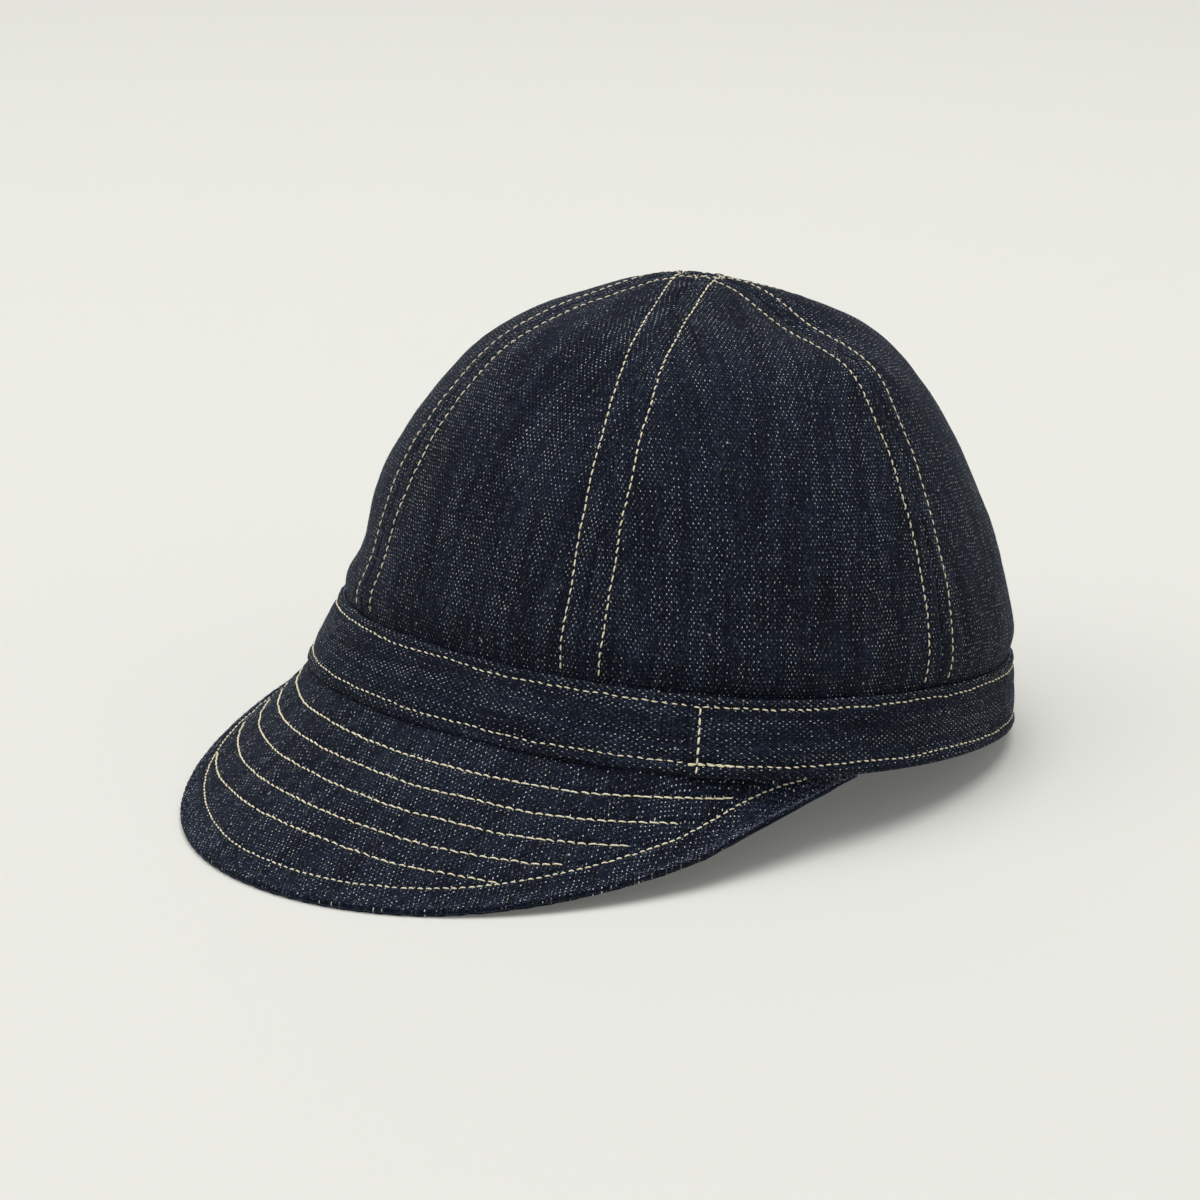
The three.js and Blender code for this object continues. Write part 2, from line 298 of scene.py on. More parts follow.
def band_point(azimuth, level, inset):
    """Points of the headband, where level is 0 at its lower edge and 1 at its upper one."""
    azimuth, level, inset = np.broadcast_arrays(azimuth, level, inset)
    a = np.radians(azimuth)
    scale = (1 + (BAND_TOP_SCALE - 1) * level) * corner_scale(azimuth)
    reach = np.clip(np.abs(turn(azimuth, 0)) / BAND_FLARE_REACH, 0, 1)
    flare = BAND_FLARE * (0.5 + 0.5 * np.cos(math.pi * reach)) * (1 - level)
    x = (HALF_WIDTH * scale + flare - inset) * np.sin(a)
    y = -(HALF_LENGTH * scale + flare - inset) * np.cos(a)
    return place(x, y, BAND_HEIGHT * level)


def crown_base(azimuth, row, swell):
    """Points of the crown's face without its seams, and their distances from the line to its tip."""
    azimuth, row, swell = np.broadcast_arrays(azimuth, row, swell)
    angle = np.clip(row, 0, 90)
    a = np.radians(azimuth)
    reach = profile_at(1, angle) + swell * profile_at(2, angle)
    held = smooth(angle, 0, HELD_BY_BAND) * smooth(90 - angle, 0, HELD_BY_TIP)
    for fold_azimuth, fold_angle, wide, tall, depth in CROWN_FOLDS:
        across = turn(azimuth, fold_azimuth) / wide
        along = (angle - fold_angle) / tall
        reach = reach + held * depth * np.exp(-across ** 2 - along ** 2)
    mean_radius = BAND_TOP_SCALE * (HALF_LENGTH + HALF_WIDTH) / 2
    height = reach * np.sin(np.radians(angle))
    share = np.clip(height / mean_radius, 0, 1)
    corners = corner_scale(azimuth) * (1 - share) + share
    wide = (BAND_TOP_SCALE * HALF_WIDTH / mean_radius * (1 - share) + share) * corners
    long = (BAND_TOP_SCALE * HALF_LENGTH / mean_radius * (1 - share) + share) * corners
    radius = reach * np.cos(np.radians(angle))
    x = wide * radius * np.sin(a) + TIP_X * share
    y = -long * radius * np.cos(a) + TIP_Y * share
    above = place(x, y, BAND_HEIGHT + height)
    tucked = band_point(azimuth, 1 + np.minimum(row, 0) / BAND_HEIGHT, BAND_WALL + GAP)
    return np.where((row < 0)[..., None], tucked, above), radius


def panel_swell(azimuth):
    """0 at the crown's seams and 1 at the middle of each panel."""
    swell = np.zeros(np.shape(azimuth))
    for start, end in zip(SEAM_AZIMUTHS, SEAM_AZIMUTHS[1:]):
        share = np.mod(azimuth - start, 360) / (end - start)
        swell = np.where(share < 1, np.sin(math.pi * np.clip(share, 0, 1)), swell)
    return swell


def crown_normal(azimuth, row):
    """Unit normals of the crown's face, which turn to run straight up at the tip."""
    step = 0.5
    near = np.where(row < 1, np.minimum(row, -1), row)

    def at(beside, level):
        return crown_base(beside, level, panel_swell(beside))[0]

    around = at(azimuth + step, near) - at(azimuth - step, near)
    upward = at(azimuth, near + step) - at(azimuth, np.minimum(near, 89.4) - step)
    normal = unit(np.cross(around, upward))
    up = np.array([0, math.sin(LEAN), math.cos(LEAN)])
    blend = smooth(row, 78, 89)[..., None]
    return unit(normal * (1 - blend) + up * blend)


def beside_seam(azimuth, seam, radius):
    """How far to the side of a crown seam points lie, and 1 on the seam's own side of the crown,
    which fades to 0 just past the tip."""
    delta = np.radians(turn(azimuth, seam))
    across = np.where(np.abs(delta) < math.pi / 2, radius * np.sin(delta), radius)
    return across, smooth(radius * np.cos(delta), -6, -1)


def crown_relief(azimuth, row, points, radius):
    """The height that seams, stitches and small wrinkles give the crown's face, and its wear."""
    from_tip = profile_at(1, np.clip(row, 0, 90)) * np.radians(90 - row)
    plateau = np.zeros(len(row))
    join = np.zeros(len(row))
    sewn = np.zeros(len(row))
    pucker = np.zeros(len(row))
    for number, seam in enumerate(SEAM_AZIMUTHS[:-1]):
        across, here = beside_seam(azimuth, seam, radius)
        side = np.where(across > 0, 1, -1)
        away = np.abs(across)
        along = from_tip + 400 * number
        pull = 0.6 + 0.4 * tug(from_tip, 2.25, 0.6 * math.pi * side)
        strength = 1 + 0.45 * ripple_along(along * side, 11, 31)
        plateau = np.maximum(plateau, here * (1 - smooth(away, *ALLOWANCE_FALL)))
        join = np.maximum(join, here * bell(across, 0.6))
        sewn = np.maximum(sewn, here * bell(away - SEAM_STITCH_OFFSET, 0.85) * pull)
        wrinkle = ripple_along(along + 150 * side, 5.2, 47)
        pucker += here * strength * wrinkle * ridges(away, SEAM_PUCKERS)
    held = smooth(row, 1, 9)
    height = ALLOWANCE_RISE * plateau - JOIN_DEPTH * join - SEAM_STITCH_DEPTH * sewn
    height += held * (pucker + wrinkles(points, CROWN_WRINKLES))
    wear = 0.3 * join
    return np.where(row < 0, 0, height), wear


def crown_surface(azimuth, row):
    """Points, normals and wear of the crown's face, seams and wrinkles included."""
    base, radius = crown_base(azimuth, row, panel_swell(azimuth))
    normal = crown_normal(azimuth, row)
    height, wear = crown_relief(azimuth, row, base, radius)
    return base + normal * height[:, None], normal, wear


def crown_reverse(azimuth, row):
    """Points and normals of the crown's inner face, with the seam allowances raised on it."""
    base, radius = crown_base(azimuth, row, panel_swell(azimuth))
    normal = crown_normal(azimuth, row)
    allowance = np.zeros(len(row))
    above_band = smooth(row, 0, 3)
    for seam in SEAM_AZIMUTHS[:-1]:
        across, here = beside_seam(azimuth, seam, radius)
        away = np.abs(across)
        edge = ALLOWANCE_WIDTH + 0.25 * ripple_along(row * CROWN_MM_PER_DEGREE + seam, 9, 12)
        raised = ALLOWANCE_THICKNESS * (1 - smooth(away, edge - 0.3, edge + 0.3))
        raised -= 0.6 * bell(across, 0.7) + 0.3 * bell(away - SEAM_STITCH_OFFSET, 0.8)
        allowance = np.maximum(allowance, here * above_band * raised)
    wall = CROWN_WALL - 0.35 * above_band
    return base - normal * (wall + allowance)[:, None], -normal


def wound_lift(wound):
    """How far the headband is raised over its own tucked end."""
    return (BAND_WALL + GAP) * (1 - smooth(wound, LAP_LENGTH + 1, LAP_LENGTH + LAP_FADE))


def band_normal(azimuth, level):
    """Unit normals of the headband's outer face."""
    around = band_point(azimuth + 0.5, level, 0.0) - band_point(azimuth - 0.5, level, 0.0)
    upward = band_point(azimuth, level + 0.05, 0.0) - band_point(azimuth, level - 0.05, 0.0)
    return unit(np.cross(around, upward))


def band_height(rise, wound):
    """The height that stitches, folds and small wrinkles give the headband, and its wear."""
    along = wound * BAND_MM_PER_DEGREE
    cloth = np.stack([along, rise], axis=-1)
    lower = bell(rise - BAND_LOWER_STITCH, 0.8)
    upper = bell(rise - BAND_UPPER_STITCH, 0.8)
    cross = bell(along - LAP_STITCH, 0.8) * smooth(rise, 0, 1)
    height = -BAND_STITCH_DEPTH * (lower + upper) * (0.65 + 0.35 * tug(along, 2.2))
    height += ridges(rise, BAND_RIDGES) - LAP_STITCH_DEPTH * cross
    middle = smooth(rise, 2, 6) * smooth(BAND_HEIGHT - rise, 2, 6)
    height += middle * (0.18 + wrinkles(cloth, BAND_WRINKLES))
    height += wrinkles(cloth, BAND_FINE_WRINKLES)
    wear = 0.8 * bell(rise - BAND_HEIGHT + 0.5, 0.8) + 0.3 * bell(rise, 1.0)
    return height, np.clip(wear, 0, 1)


def fold_inset(distance, radius):
    """How far a face curves in towards a folded edge at a distance from that edge."""
    t = np.clip(1 - distance / radius, 0, 1)
    return radius * (1 - np.sqrt(1 - t ** 2))


def band_inset(wound, rise):
    """How far the headband's faces curve in towards its folded edges and its lapped end."""
    inset = fold_inset(np.minimum(rise, BAND_HEIGHT - rise), BAND_WALL / 2)
    return np.maximum(inset, fold_inset(wound * BAND_MM_PER_DEGREE, BAND_WALL / 2))


def band_surface(wound, rise):
    """Points, normals and wear of the headband's face, wound round from its outer end."""
    azimuth = LAP_AZIMUTH + wound
    level = rise / BAND_HEIGHT
    normal = band_normal(azimuth, level)
    height, wear = band_height(rise, wound)
    base = band_point(azimuth, level, -wound_lift(wound))
    points = base + normal * (height - band_inset(wound, rise))[:, None]
    return above_floor(points), normal, wear


def band_reverse(wound, rise):
    """Points and normals of the headband's inner face."""
    azimuth = LAP_AZIMUTH + wound
    level = rise / BAND_HEIGHT
    points = band_point(azimuth, level, BAND_WALL - band_inset(wound, rise) - wound_lift(wound))
    return above_floor(points), -band_normal(azimuth, level)


def peak_base(s, t):
    """Points between the peak's plies: s from -1 to 1 across it, t from 0 at the band to 1."""
    s, t = np.broadcast_arrays(s, t)
    inset = BAND_WALL + (GAP + PLY + GAP / 2) / math.cos(math.radians(ROOT_SLOPE))
    root = band_point(s * PEAK_AZIMUTH, 0.0, inset)
    tucked = band_point(s * PEAK_AZIMUTH, np.maximum(-t, 0), inset)
    along = np.radians(s * 90)
    across = np.sign(s) * np.abs(np.sin(along)) ** PEAK_ROUNDNESS
    forward = np.abs(np.cos(along)) ** PEAK_ROUNDNESS
    y = -PEAK_WIDEST - (PEAK_FRONT - PEAK_WIDEST) * forward
    climbed = np.maximum(y + EDGE_CLIMB_START, 0) / EDGE_CLIMB_RUN
    z = EDGE_HEIGHT + EDGE_CLIMB * climbed ** EDGE_CLIMB_POWER
    edge = np.stack([PEAK_HALF_WIDTH * across, y + MIDDLE_Y, z], axis=-1)
    drawn_in = EDGE_DRAWN_IN * np.clip((s - EDGE_DRAWN_IN_S) / (1 - EDGE_DRAWN_IN_S), 0, 1)
    edge = edge + (root - edge) * drawn_in[..., None]
    out = np.maximum(t, 0)[..., None]
    points = root * (1 - out) + edge * out
    sag = (SAG_MIDDLE + SAG_SIDES * s ** 2) * (1 - s ** 4)
    points[..., 2] -= 4 * sag * out[..., 0] * (1 - out[..., 0])
    return np.where((t < 0)[..., None], tucked, points)


def peak_normal(s, t):
    """Unit normals of the peak's upper face."""
    step = 0.01
    broad = np.clip(s, -SLOPE_WIDTH, SLOPE_WIDTH)
    along = np.clip(t, 0.02, 0.96)

    def at(u, v):
        across = peak_base(u + step, v) - peak_base(u - step, v)
        outward = peak_base(u, v + step) - peak_base(u, v - step)
        normal = unit(np.cross(across, outward))
        return normal * np.where(normal[:, 2] < 0, -1, 1)[:, None]

    wall = at(broad, np.full(len(s), -PEAK_TUCK / 2))
    share = smooth(-t, -0.03, 0.02)[:, None]
    return unit(at(broad, along) * (1 - share) + wall * share)


EDGE_LINE = peak_base(np.linspace(-1, 1, 501), 1.0)


def edge_distance(points):
    """Distances from points of the peak to its edge."""
    nearest = np.full(len(points), 1e9)
    for start in range(0, len(EDGE_LINE), 100):
        part = EDGE_LINE[start:start + 100]
        gap = np.linalg.norm(points[:, None, :] - part[None, :, :], axis=2)
        nearest = np.minimum(nearest, gap.min(axis=1))
    return nearest


def edge_stitch_distance(s):
    """How far in from the edge the peak's edge stitching runs."""
    wider = (EDGE_STITCH_LEFT - EDGE_STITCH_RIGHT) * smooth(s, -0.7, -0.2)
    drawn_in = EDGE_STITCH_DRAWN_IN * smooth(s, *EDGE_STITCH_DRAWN_IN_S)
    return EDGE_STITCH_RIGHT + wider - drawn_in


def row_distance(number, s):
    """How far out from the band one of the peak's rows runs."""
    distance, draw, push, _ = PEAK_ROWS[number]
    return distance * (1 - draw * s ** 2) + push * smooth(s, -0.3, 0.3)


def band_distance(s, points):
    """Distances from points of the peak to the headband's lower edge."""
    return np.linalg.norm(points - band_point(s * PEAK_AZIMUTH, 0.0, 0.0), axis=1)


def peak_relief(s, t, points):
    """The height that rows of stitches, puffs and the edge give a face of the peak, and its wear."""
    out = band_distance(s, points)
    rim = edge_distance(points)
    border = edge_stitch_distance(s)
    within = smooth(rim - border, -0.5, 1.5)
    along = s * PEAK_MM_PER_S
    rows = np.zeros(len(s))
    for number in range(len(PEAK_ROWS)):
        pull = 0.7 + 0.3 * tug(along, 2.6, number)
        rows = np.maximum(rows, bell(out - row_distance(number, s), 1.15) * pull)
    edge_row = bell(rim - border, 0.95) * (0.7 + 0.3 * tug(along, 2.0))
    plane = points[:, :2]
    puffed = 0.20 + wrinkles(plane, PEAK_PUFFS)
    height = within * (puffed - PEAK_ROW_DEPTH * rows) - EDGE_STITCH_DEPTH * edge_row
    height -= 0.28 * (1 - smooth(rim - border, -2.6, -0.6)) * smooth(rim, 0, 3)
    height += wrinkles(plane, PEAK_WAVES) * smooth(rim, 0, 14)
    height += wrinkles(plane, PEAK_FINE_WRINKLES)
    shown = smooth(t, 0, 0.03)
    wear = 0.2 * shown * bell(rim, 1.3)
    return height * shown - 0.8 * bell(out - 0.4, 1.3) * smooth(t, -0.1, 0), wear


def peak_face(side):
    """The surface of the upper ply's face (side 1) or the under ply's (side -1)."""
    def surface(s, t):
        base = peak_base(s, t)
        normal = peak_normal(s, t)
        height, wear = peak_relief(s, t, base)
        pressed = UNDER_PRESSED * smooth(np.abs(s), *UNDER_PRESSED_S) if side < 0 else 0.0
        wall = PLY - pressed
        rounding = fold_inset(edge_distance(base), GAP / 2 + PLY)
        offset = side * (GAP / 2 + wall + height - np.minimum(rounding, wall))
        return above_floor(base + normal * offset[:, None]), normal * side, wear
    return surface


def peak_hidden_face(side):
    """The surface of the upper (side 1) or the under ply (side -1) that faces the other one."""
    def surface(s, t):
        base = peak_base(s, t)
        normal = peak_normal(s, t)
        return above_floor(base + normal * (side * GAP / 2)), -normal * side
    return surface


def linear(hexadecimal):
    """An sRGB hex colour as the linear colour that a shader takes."""
    text = hexadecimal.lstrip("#")
    values = [int(text[i:i + 2], 16) / 255 for i in (0, 2, 4)]
    return [v / 12.92 if v <= 0.04045 else ((v + 0.055) / 1.055) ** 2.4 for v in values] + [1.0]


def add(tree, kind, inputs=None, **settings):
    """Adds a node with its settings. An input is a value, a socket, or a node's first output."""
    node = tree.nodes.new(kind)
    for name, value in settings.items():
        setattr(node, name, value)
    for name, value in (inputs or {}).items():
        if isinstance(value, bpy.types.Node):
            value = value.outputs[0]
        if isinstance(value, bpy.types.NodeSocket):
            tree.links.new(value, node.inputs[name])
        else:
            node.inputs[name].default_value = value
    return node


def new_material(name):
    """An empty material, and its node tree."""
    material = bpy.data.materials.new(name)
    material.use_nodes = True
    material.node_tree.nodes.clear()
    return material, material.node_tree


def shade(tree, inputs):
    """Ends a material's nodes with its shader."""
    shader = add(tree, "ShaderNodeBsdfPrincipled", inputs)
    add(tree, "ShaderNodeOutputMaterial", {"Surface": shader})


# The cloth: 3x1 right-hand twill, with this many millimetres to a warp end and a weft pick. A
# slack end stays slack for this many picks, from another pick than the end before it.
WARP_END = 0.31
WEFT_PICK = 0.51
SLACK_PICKS = 40
SLACK_SHIFT = 0.618


def denim(name, warp_dark, warp_light, weft, sheen):
    """Raw indigo denim, woven: rope-dyed warp over an undyed weft, which shows as pale dots on
    twill diagonals. The dots differ from one warp end to the next, as ring-spun yarn does."""
    material, tree = new_material(name)
    cloth = add(tree, "ShaderNodeUVMap", uv_map="cloth_mm")
    drift = add(tree, "ShaderNodeTexNoise", {"Vector": cloth, "Scale": 0.12, "Detail": 2.0},
                noise_dimensions="2D")
    shift = add(tree, "ShaderNodeVectorMath", {0: drift.outputs["Color"], 1: (0.5, 0.5, 0.5)},
                operation="SUBTRACT")
    drifted = add(tree, "ShaderNodeVectorMath", {0: shift, 1: (1.5, 1.5, 0.0), 2: cloth},
                  operation="MULTIPLY_ADD")
    yarns = add(tree, "ShaderNodeVectorMath",
                {0: drifted, 1: (1 / WARP_END, 1 / WEFT_PICK, 1.0)}, operation="MULTIPLY")
    cell = add(tree, "ShaderNodeVectorMath", {0: yarns}, operation="FLOOR")
    inside = add(tree, "ShaderNodeVectorMath", {0: yarns}, operation="FRACTION")
    count = add(tree, "ShaderNodeSeparateXYZ", {0: yarns})
    number = add(tree, "ShaderNodeSeparateXYZ", {0: cell})
    within = add(tree, "ShaderNodeSeparateXYZ", {0: inside})

    # Along an end, one pick in four lies over it: a dot, then a float of three picks. Each end
    # has its dot one pick higher than the end before.
    step = add(tree, "ShaderNodeMath", {0: count.outputs["Y"], 1: number.outputs["X"]},
               operation="SUBTRACT")
    along = add(tree, "ShaderNodeMath", {0: step, 1: 4.0}, operation="FLOORED_MODULO")
    across = add(tree, "ShaderNodeMath", {0: within.outputs["X"], 1: math.pi},
                 operation="MULTIPLY")
    rounded = add(tree, "ShaderNodeMath", {0: across}, operation="SINE")
    float_place = add(tree, "ShaderNodeMapRange",
                      {"Value": along, "From Min": 0.9, "From Max": 4.1, "To Max": math.pi})
    float_bow = add(tree, "ShaderNodeMath", {0: float_place}, operation="SINE")
    ridge = add(tree, "ShaderNodeMath", {0: float_bow, 1: rounded}, operation="MULTIPLY",
                use_clamp=True)
    dot_place = add(tree, "ShaderNodeMapRange",
                    {"Value": along, "From Min": -0.1, "From Max": 1.1, "To Max": math.pi})
    dot_bow = add(tree, "ShaderNodeMath", {0: dot_place}, operation="SINE")
    dot_form = add(tree, "ShaderNodeMath", {0: dot_bow, 1: rounded}, operation="MULTIPLY")
    dot = add(tree, "ShaderNodeMapRange",
              {"Value": dot_form, "From Min": 0.36, "From Max": 0.7})

    # How much weft shows: a few slack ends show much of it and most show little, and it differs
    # by patches of the cloth and from dot to dot. Dots on every end would run together in a
    # picture of this size, so every other end is drawn showing less than it does on real cloth.
    grain = add(tree, "ShaderNodeTexWhiteNoise", {"Vector": cell}, noise_dimensions="2D")
    rare = add(tree, "ShaderNodeMath", {0: grain.outputs["Value"], 1: 2.5}, operation="POWER")
    every_other = add(tree, "ShaderNodeMath", {0: number.outputs["X"], 1: 2.0},
                      operation="FLOORED_MODULO")
    taut = add(tree, "ShaderNodeMapRange", {"Value": every_other, "To Min": 1.0, "To Max": 0.1})
    each = add(tree, "ShaderNodeMapRange", {"Value": rare, "To Min": 0.25, "To Max": 3.2})
    offset = add(tree, "ShaderNodeMath", {0: number.outputs["X"], 1: SLACK_SHIFT},
                 operation="MULTIPLY")
    run = add(tree, "ShaderNodeMath", {0: count.outputs["Y"], 1: 1 / SLACK_PICKS, 2: offset},
              operation="MULTIPLY_ADD")
    run_number = add(tree, "ShaderNodeMath", {0: run}, operation="FLOOR")
    end_cell = add(tree, "ShaderNodeCombineXYZ", {"X": number.outputs["X"], "Y": run_number})
    ends = add(tree, "ShaderNodeTexWhiteNoise", {"Vector": end_cell}, noise_dimensions="2D")
    slack = add(tree, "ShaderNodeMath", {0: ends.outputs["Value"], 1: 4.0}, operation="POWER")
    by_end = add(tree, "ShaderNodeMapRange", {"Value": slack, "To Min": 0.14, "To Max": 1.8})
    patch_map = add(tree, "ShaderNodeVectorMath", {0: cloth, 1: (0.17, 0.03, 0.0)},
                    operation="MULTIPLY")
    patch = add(tree, "ShaderNodeTexNoise", {"Vector": patch_map, "Scale": 1.0, "Detail": 3.0},
                noise_dimensions="2D")
    patched = add(tree, "ShaderNodeMapRange",
                  {"Value": patch, "From Min": 0.32, "From Max": 0.68, "To Min": 0.5,
                   "To Max": 1.2})
    showing = add(tree, "ShaderNodeMath", {0: by_end, 1: patched}, operation="MULTIPLY")
    tone = add(tree, "ShaderNodeMath", {0: showing, 1: each}, operation="MULTIPLY",
               use_clamp=True)
    shown = add(tree, "ShaderNodeMath", {0: taut, 1: dot}, operation="MULTIPLY")
    lit = add(tree, "ShaderNodeMath", {0: tone, 1: shown}, operation="MULTIPLY")

    # Warp ends take the dye unevenly. Each float is also painted lighter along its top and darker
    # down between the ridges: painted highlight and painted shade.
    streak_map = add(tree, "ShaderNodeVectorMath", {0: cloth, 1: (2.1, 0.3, 0.0)},
                     operation="MULTIPLY")
    streak = add(tree, "ShaderNodeTexNoise", {"Vector": streak_map, "Scale": 1.0, "Detail": 2.0},
                 noise_dimensions="2D")
    dye = add(tree, "ShaderNodeMapRange",
              {"Value": streak, "From Min": 0.3, "From Max": 0.7, "To Min": 0.25})
    dyed = add(tree, "ShaderNodeMath", {0: dye, 1: patched}, operation="MULTIPLY")
    spun = add(tree, "ShaderNodeMapRange",
               {"Value": grain.outputs["Value"], "To Min": 0.2, "To Max": 1.5})
    uneven = add(tree, "ShaderNodeMath", {0: dyed, 1: spun}, operation="MULTIPLY")
    # Painted highlight and shade: the float's shape sets how light the warp is painted.
    raised = add(tree, "ShaderNodeMath", {0: uneven, 1: ridge}, operation="MULTIPLY",
                 use_clamp=True)
    warp = add(tree, "ShaderNodeMix",
               {"Factor": raised, "A": linear(warp_dark), "B": linear(warp_light)},
               data_type="RGBA")

    # Folds and edges are rubbed a little, and a nep is spun in here and there.
    worn = add(tree, "ShaderNodeAttribute", attribute_name="wear")
    rubbed = add(tree, "ShaderNodeMath", {0: worn.outputs["Fac"], 1: shown}, operation="MULTIPLY")
    rub = add(tree, "ShaderNodeMath", {0: rubbed, 1: each}, operation="MULTIPLY", use_clamp=True)
    nap = add(tree, "ShaderNodeTexVoronoi", {"Vector": cloth, "Scale": 0.16, "Randomness": 1.0},
              voronoi_dimensions="2D")
    nep = add(tree, "ShaderNodeMapRange",
              {"Value": nap.outputs["Distance"], "From Min": 0.03, "From Max": 0.06,
               "To Min": 0.5, "To Max": 0.0})
    lot = add(tree, "ShaderNodeSeparateColor", {0: nap.outputs["Color"]})
    few = add(tree, "ShaderNodeMath", {0: lot.outputs["Red"], 1: 0.975},
              operation="GREATER_THAN")
    neps = add(tree, "ShaderNodeMath", {0: nep, 1: few}, operation="MULTIPLY")
    pale = add(tree, "ShaderNodeMath", {0: lit, 1: rub}, operation="MAXIMUM")
    paler = add(tree, "ShaderNodeMath", {0: pale, 1: neps}, operation="MAXIMUM")
    colour = add(tree, "ShaderNodeMix",
                 {"Factor": paler, "A": warp.outputs["Result"], "B": linear(weft)},
                 data_type="RGBA")

    # The floats stand up as rounded ridges, and the dots lie a little lower.
    low_dot = add(tree, "ShaderNodeMath", {0: dot, 1: 0.55}, operation="MULTIPLY")
    height = add(tree, "ShaderNodeMath", {0: ridge, 1: low_dot}, operation="MAXIMUM")
    bump = add(tree, "ShaderNodeBump", {"Height": height, "Strength": 0.4, "Distance": 0.08 * MM})
    shade(tree, {"Base Color": colour.outputs["Result"], "Normal": bump, "Roughness": 0.9,
                 "IOR": 1.45, "Specular IOR Level": 0.1, "Sheen Weight": sheen,
                 "Sheen Roughness": 0.3, "Sheen Tint": linear("#B9C6E2")})
    return material


def cotton_thread(name):
    """Cream cotton topstitching thread, spun and two-ply: a soft matt yarn whose twist shows as
    slanting ridges, in the bump and as painted highlight and shade along them."""
    material, tree = new_material(name)
    thread = add(tree, "ShaderNodeUVMap", uv_map="thread")
    parts = add(tree, "ShaderNodeSeparateXYZ", {0: thread})
    turns = add(tree, "ShaderNodeMath", {0: parts.outputs["X"], 1: 1.6, 2: parts.outputs["Y"]},
                operation="MULTIPLY_ADD")
    angle = add(tree, "ShaderNodeMath", {0: turns, 1: 2 * math.pi}, operation="MULTIPLY")
    twist = add(tree, "ShaderNodeMath", {0: angle}, operation="SINE")
    places = add(tree, "ShaderNodeTexCoord")
    uneven = add(tree, "ShaderNodeTexNoise",
                 {"Vector": places.outputs["Object"], "Scale": 450.0, "Detail": 2.0})
    # The twist is painted into the colour too: painted highlight on one flank of each ridge and
    # painted shade on the other, over uneven tone.
    tone = add(tree, "ShaderNodeMath", {0: twist, 1: 0.12, 2: uneven.outputs[0]},
               operation="MULTIPLY_ADD", use_clamp=True)
    colour = add(tree, "ShaderNodeMix",
                 {"Factor": tone, "A": linear("#EBDDB2"), "B": linear("#FFF9DE")},
                 data_type="RGBA")
    bump = add(tree, "ShaderNodeBump", {"Height": twist, "Strength": 0.5, "Distance": 0.06 * MM})
    shade(tree, {"Base Color": colour.outputs["Result"], "Normal": bump, "Roughness": 0.8,
                 "IOR": 1.5, "Specular IOR Level": 0.3, "Sheen Weight": 0.25,
                 "Sheen Roughness": 0.5, "Sheen Tint": linear("#FFF6DE")})
    return material


def cotton_fluff(name, colour):
    """Loose fibres of dyed cotton that stand off the cloth."""
    material, tree = new_material(name)
    shade(tree, {"Base Color": linear(colour), "Roughness": 1.0, "Specular IOR Level": 0.1})
    return material


def acrylic_with_painted_glow(name, colour, glow):
    """Matt white acrylic studio table with a faint painted glow, as if lit a little from below,
    which lifts the shadows on it.
    """
    material, tree = new_material(name)
    # The emission is a painted glow: no lamp lies under the table.
    shade(tree, {"Base Color": linear(colour), "Roughness": 0.9, "Specular IOR Level": 0.1,
                 "Emission Color": linear(glow), "Emission Strength": 0.12})
    return material


def lay_uv(mesh, name, places):
    """Gives a mesh smooth faces and one UV map, from a place for each of its vertices."""
    corners = np.zeros(len(mesh.loops), np.int32)
    mesh.loops.foreach_get("vertex_index", corners)
    while mesh.uv_layers:
        mesh.uv_layers.remove(mesh.uv_layers[0])
    layer = mesh.uv_layers.new(name=name)
    layer.data.foreach_set("uv", places[corners].astype(np.float32).ravel())
    mesh.polygons.foreach_set("use_smooth", np.ones(len(mesh.polygons), bool))
    mesh.update()


def finish_piece(piece, slot, *nodes):
    """Rides a piece on the cap's one body, and hides the imported nodes it stands for. The slot is
    not used.
    """
    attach(piece, "root")
    if nodes:
        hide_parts(*nodes)


def placed_piece(name, points, faces, material, slot):
    """A piece made of vertices that are already in place. Gives its mesh."""
    mesh = bpy.data.meshes.new(name)
    mesh.from_pydata((points * MM).tolist(), [], faces)
    mesh.materials.append(material)
    mesh.update()
    piece = bpy.data.objects.new(name, mesh)
    bpy.context.collection.objects.link(piece)
    finish_piece(piece, slot)
    return mesh


def cloth_piece(name, columns, rows, face, reverse, cloth_uv, materials, slot, node):
    """A cloth wall: a grid given thickness, then set out between its face and its reverse."""
    flat_wall = 0.1
    bpy.ops.object.select_all(action="DESELECT")
    bpy.ops.mesh.primitive_grid_add(x_subdivisions=len(columns) - 1, y_subdivisions=len(rows) - 1,
                                    size=2)
    piece = bpy.context.object
    piece.name = name
    piece.data.name = name
    for material in materials:
        piece.data.materials.append(material)
    wall = piece.modifiers.new("Wall", "SOLIDIFY")
    wall.thickness = flat_wall
    wall.offset = -1
    wall.material_offset = 1
    bpy.ops.object.modifier_apply(modifier=wall.name)

    mesh = piece.data
    flat = np.zeros(len(mesh.vertices) * 3, np.float32)
    mesh.vertices.foreach_get("co", flat)
    flat = flat.reshape(-1, 3)
    column = np.rint((flat[:, 0] + 1) / 2 * (len(columns) - 1)).astype(int)
    row = np.rint((flat[:, 1] + 1) / 2 * (len(rows) - 1)).astype(int)
    outer = flat[:, 2] > -flat_wall / 2
    u, v = columns[column], rows[row]
    points = np.zeros((len(flat), 3))
    wear = np.zeros(len(flat))
    points[outer], _, wear[outer] = face(u[outer], v[outer])
    points[~outer] = reverse(u[~outer], v[~outer])[0]
    mesh.vertices.foreach_set("co", (points * MM).astype(np.float32).ravel())
    mesh.attributes.new("wear", "FLOAT", "POINT").data.foreach_set("value", wear.astype(np.float32))
    lay_uv(mesh, "cloth_mm", np.stack(cloth_uv(u, v, points), axis=-1))
    finish_piece(piece, slot, node)


